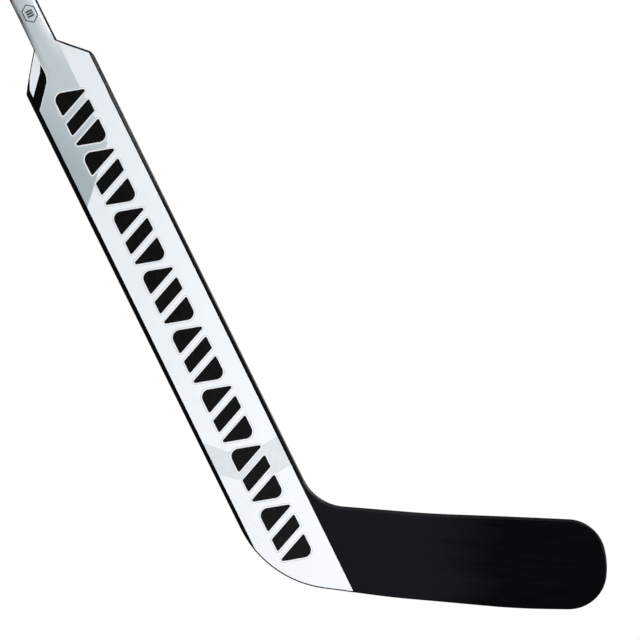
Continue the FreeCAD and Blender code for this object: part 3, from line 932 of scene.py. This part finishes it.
def print_ink(name, low, high, roughness):
    """Printed ink, slightly uneven, with a finely rough surface."""
    material, tree, shader = new_material(name, Coat_Weight=0.05, Coat_Roughness=0.2,
                                          Specular_IOR_Level=0.28)
    cloud = noise(tree, local_place(tree), 160.0, 4.0)
    toned = mix(tree, remap(tree, cloud, 0.35, 0.65), low, high)
    tree.links.new(toned, shader.inputs["Base Color"])
    grain = noise(tree, local_place(tree, (500.0, 500.0, 90.0)), 1.0)
    roughen(tree, shader, grain, 0.0015, remap(tree, grain, 0.3, 0.7, roughness - 0.03, roughness + 0.03))
    return material


def silver_paint():
    """Silver lacquer: fine metal flakes in a pearly grey, darker towards the lower left, with a painted
    highlight at the shaft's right edge and painted shade at its left.
    """
    material, tree, shader = new_material("silver_paint", Metallic=0.4, Coat_Weight=0.12,
                                          Coat_Roughness=0.35)
    turned = local_place(tree)
    across, along = across_along(tree, turned)
    flakes = shader_node(tree, "ShaderNodeTexVoronoi", {"Vector": turned, "Scale": 3200.0})
    bright = shader_node(tree, "ShaderNodeSeparateColor", {0: flakes.outputs["Color"]}).outputs[0]
    cloud = noise(tree, turned, 35.0)
    tone = weighed(tree, bright, cloud, 0.7)
    plain = mix(tree, tone, (0.575, 0.65, 0.69, 1.0), (0.66, 0.735, 0.775, 1.0))
    on_shaft = remap(tree, along, 0.600, 0.645)
    # painted highlight and painted shade: on the shaft the silver is painted paler towards its right edge and
    # darker towards its left edge
    painted_highlight = times(tree, on_shaft, remap(tree, across, -0.001, 0.0095))
    painted_shade = times(tree, on_shaft, remap(tree, across, -0.006, -0.0125))
    corner = math_node(tree, "ADD", times(tree, along, 0.5), across)
    plain = mix(tree, remap(tree, corner, 0.290, 0.225), plain, (0.44, 0.515, 0.56, 1.0))
    toned = mix(tree, math_node(tree, "POWER", painted_highlight, 1.6), plain, (0.86, 0.90, 0.95, 1.0))
    toned = mix(tree, painted_shade, toned, (0.34, 0.40, 0.43, 1.0))
    tree.links.new(toned, shader.inputs["Base Color"])
    roughen(tree, shader, bright, 0.0006, remap(tree, bright, 0.0, 1.0, 0.46, 0.56))
    return material


def bare_wood(name, pale, dark):
    """Wood with its grain along the axis, and rings on a cut end."""
    material, tree, shader = new_material(name, Coat_Weight=0.0)
    grain = noise(tree, local_place(tree, (260.0, 260.0, 7.0)), 1.0, 5.0)
    rings = shader_node(tree, "ShaderNodeTexWave", {
        "Vector": local_place(tree, (1.0, 1.3, 0.04)), "Scale": 260.0, "Distortion": 3.0, "Detail": 2.0,
        "Detail Scale": 1.4}, wave_type="RINGS", rings_direction="Z").outputs["Fac"]
    tone = remap(tree, weighed(tree, grain, rings, 0.4), 0.3, 0.75)
    tree.links.new(mix(tree, tone, pale, dark), shader.inputs["Base Color"])
    roughen(tree, shader, grain, 0.05, remap(tree, grain, 0.3, 0.7, 0.55, 0.75))
    return material


def foam():
    """Pale closed-cell foam."""
    material, tree, shader = new_material("foam_cells")
    cells = shader_node(tree, "ShaderNodeTexVoronoi", {"Vector": local_place(tree), "Scale": 700.0})
    tone = remap(tree, cells.outputs["Distance"], 0.0, 0.7)
    tree.links.new(mix(tree, tone, (0.62, 0.56, 0.42, 1.0), (0.78, 0.73, 0.60, 1.0)),
                   shader.inputs["Base Color"])
    roughen(tree, shader, tone, 0.15, remap(tree, tone, 0.0, 1.0, 0.8, 0.95))
    return material


# -------------------- the stick

black = black_lacquer()
blade_finish = blade_black()
white = white_print()
silver = silver_paint()
ink = print_ink("black_ink", grey(0.0012), grey(0.003, 0.1), 0.28)
pale_ink = print_ink("pale_grey_ink", (0.610, 0.642, 0.674, 1.0), (0.643, 0.676, 0.708, 1.0), 0.36)
line_ink = print_ink("line_grey_ink", grey(0.50, 0.04), grey(0.56, 0.04), 0.36)
white_ink = print_ink("white_ink", (0.74, 0.775, 0.80, 1.0), (0.76, 0.795, 0.82, 1.0), 0.34)
badge_ink = print_ink("badge_ink", grey(0.045, 0.1), grey(0.075, 0.1), 0.4)
red_paint = print_ink("red_paint", (0.42, 0.006, 0.012, 1.0), (0.50, 0.010, 0.018, 1.0), 0.3)
aspen = bare_wood("aspen", (0.72, 0.58, 0.40, 1.0), (0.52, 0.37, 0.21, 1.0))
birch = bare_wood("birch", (0.62, 0.44, 0.27, 1.0), (0.42, 0.26, 0.13, 1.0))
foam_cells = foam()

finishes = {
    "aspen_wood": aspen,
    "birch_wood": birch,
    "silver_wrap": silver,
    "badge_film": badge_ink,
    "foam": foam_cells,
    "black_rail": black,
    "fibre_skin": black,
    "white_film": white,
    "black_blade": blade_finish,
}
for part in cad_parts.values():
    for slot in part.material_slots:
        key = slot.material.name.split(".")[0]
        slot.link = "OBJECT"
        slot.material = finishes[key]


def place_piece(piece, material, replaced=()):
    """Gives a piece its material and puts it in the frame."""
    piece.data.materials.append(material)
    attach(piece, "root")
    if replaced:
        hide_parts(*replaced)


(paddle_body, blade_body), outline = body_shells()
place_piece(paddle_body, black, (
    "paddle_left_rail", "paddle_right_rail", "shoulder_left_rail", "shoulder_right_rail",
    "paddle_front_skin", "paddle_back_skin", "heel_rail"))
place_piece(blade_body, blade_finish, (
    "throat_rail", "blade_top_rail", "blade_toe_rail", "blade_sole_rail",
    "blade_front_skin", "blade_back_skin"))
place_piece(shaft_shell(), black, ("shaft_wrap",))

layers = {
    "white": (white, "white_film"),
    "silver": (silver, "silver_wrap"),
    "grey": (pale_ink, "white_film"),
    "wedge": (black, "black_rail"),
    "seam": (white_ink, "white_film"),
    "hairline": (line_ink, "white_film"),
    "border": (white_ink, "white_film"),
    "black": (ink, "black_rail"),
}
for front, decal in ((True, "paddle_front_decal"), (False, "paddle_back_decal")):
    for layer, piece in print_design(outline, front).items():
        finish, slot = layers[layer]
        place_piece(piece, finish, (decal,) if layer == "white" else ())

neck_ends, red_from, red_to = (NECK_UP, NECK_UP), (690.0, 750.0), (760.0, 820.0)
for front, side, crown in ((True, "front", CROWN_FRONT), (False, "back", CROWN_BACK)):
    stations = wrapped_line(22.0, 42.0)
    silver_foot = wrap_film(f"shaft_{side}_silver", stations, neck_ends, red_from,
                            LEVELS["silver"], front, crown)
    place_piece(silver_foot, silver)
    red_band = wrap_film(f"shaft_{side}_red", stations, red_from, red_to,
                         LEVELS["silver"], front, crown)
    place_piece(red_band, red_paint)
place_piece(badge_marks(), badge_ink, ("shaft_badge",))
edge_mark = wrap_film("badge_edge_mark", arc_line(-1, 52.0, 64.0), (669.0, 669.0), (681.0, 681.0), 0.12)
place_piece(edge_mark, badge_ink)


# -------------------- floor, lights and camera

def white_to_camera(name, shade):
    """A pale diffuse surface that the camera sees as plain white."""
    material, tree, shader = new_material(name, Roughness=0.9)
    shader.inputs["Base Color"].default_value = grey(shade)
    glow = shader_node(tree, "ShaderNodeEmission", {"Color": grey(1.0), "Strength": 1.0})
    path = shader_node(tree, "ShaderNodeLightPath")
    mixed = shader_node(tree, "ShaderNodeMixShader", {
        0: path.outputs["Is Camera Ray"], 1: shader.outputs[0], 2: glow.outputs[0]})
    tree.links.new(mixed.outputs[0], tree.nodes["Material Output"].inputs["Surface"])
    return material


def floor_plane():
    """A wide floor under the stick, part of the studio and not of the object."""
    reach = 15000.0
    corners = [(-reach, -reach, 0.0), (reach, -reach, 0.0), (reach, reach, 0.0), (-reach, reach, 0.0)]
    plane = new_object("floor", corners, [(0, 1, 2, 3)], None, False)
    plane.data.materials.append(white_to_camera("floor_white", 0.3))


def soft_light(name, place, aim, watts, wide, tall):
    """A rectangular softbox turned towards a point."""
    lamp = bpy.data.lights.new(name, "AREA")
    lamp.shape = "RECTANGLE"
    lamp.size = wide
    lamp.size_y = tall
    lamp.energy = watts
    holder = bpy.data.objects.new(name, lamp)
    bpy.context.scene.collection.objects.link(holder)
    holder.location = place
    holder.rotation_euler = (Vector(aim) - Vector(place)).to_track_quat("-Z", "Y").to_euler()


def studio():
    """White surroundings for the camera, dim grey for reflections, and softboxes."""
    world = bpy.data.worlds.new("studio")
    bpy.context.scene.world = world
    world.use_nodes = True
    tree = world.node_tree
    tree.nodes.clear()
    path = shader_node(tree, "ShaderNodeLightPath")
    seen = shader_node(tree, "ShaderNodeBackground", {"Color": grey(1.0), "Strength": 1.0})
    around = shader_node(tree, "ShaderNodeBackground", {"Color": grey(1.0, 0.03), "Strength": 0.1})
    mixed = shader_node(tree, "ShaderNodeMixShader", {
        0: path.outputs["Is Camera Ray"], 1: around.outputs[0], 2: seen.outputs[0]})
    output = shader_node(tree, "ShaderNodeOutputWorld")
    tree.links.new(mixed.outputs[0], output.inputs["Surface"])
    soft_light("low", (1.15, -1.5, 0.2), (-0.05, 0.0, 0.1), 46.5, 1.0, 0.36)
    soft_light("high", (-3.0, -2.5, 3.5), (-0.15, 0.0, 0.3), 64.0, 2.0, 2.0)
    soft_light("rim", (0.45, -0.75, 1.2), (-0.42, 0.0, 0.54), 3.4, 0.3, 0.4)
    for name, x in (("back_left", -2.0), ("back_right", 2.0)):
        soft_light(name, (x, 2.4, 1.5), (-0.1, 0.0, 0.5), 56.0, 1.6, 1.6)
    bpy.context.scene.view_settings.view_transform = "Standard"
    bpy.context.scene.view_settings.look = "None"


def photo_camera():
    """The camera straight in front of the paddle's foot, rolled a little."""
    away = 2.0
    view_wide = 0.6739
    lens = bpy.data.cameras.new("camera")
    lens.sensor_width = 36.0
    lens.lens = lens.sensor_width * away / view_wide
    camera = bpy.data.objects.new("camera", lens)
    bpy.context.scene.collection.objects.link(camera)
    roll = math.radians(4.7)
    right = Vector((math.cos(roll), 0.0, math.sin(roll)))
    up = Vector((-math.sin(roll), 0.0, math.cos(roll)))
    turn = Matrix((right, up, Vector((0.0, -1.0, 0.0)))).transposed().to_4x4()
    camera.matrix_world = Matrix.Translation((-0.15553, -away, 0.28382)) @ turn
    bpy.context.scene.camera = camera


floor_plane()
studio()
photo_camera()
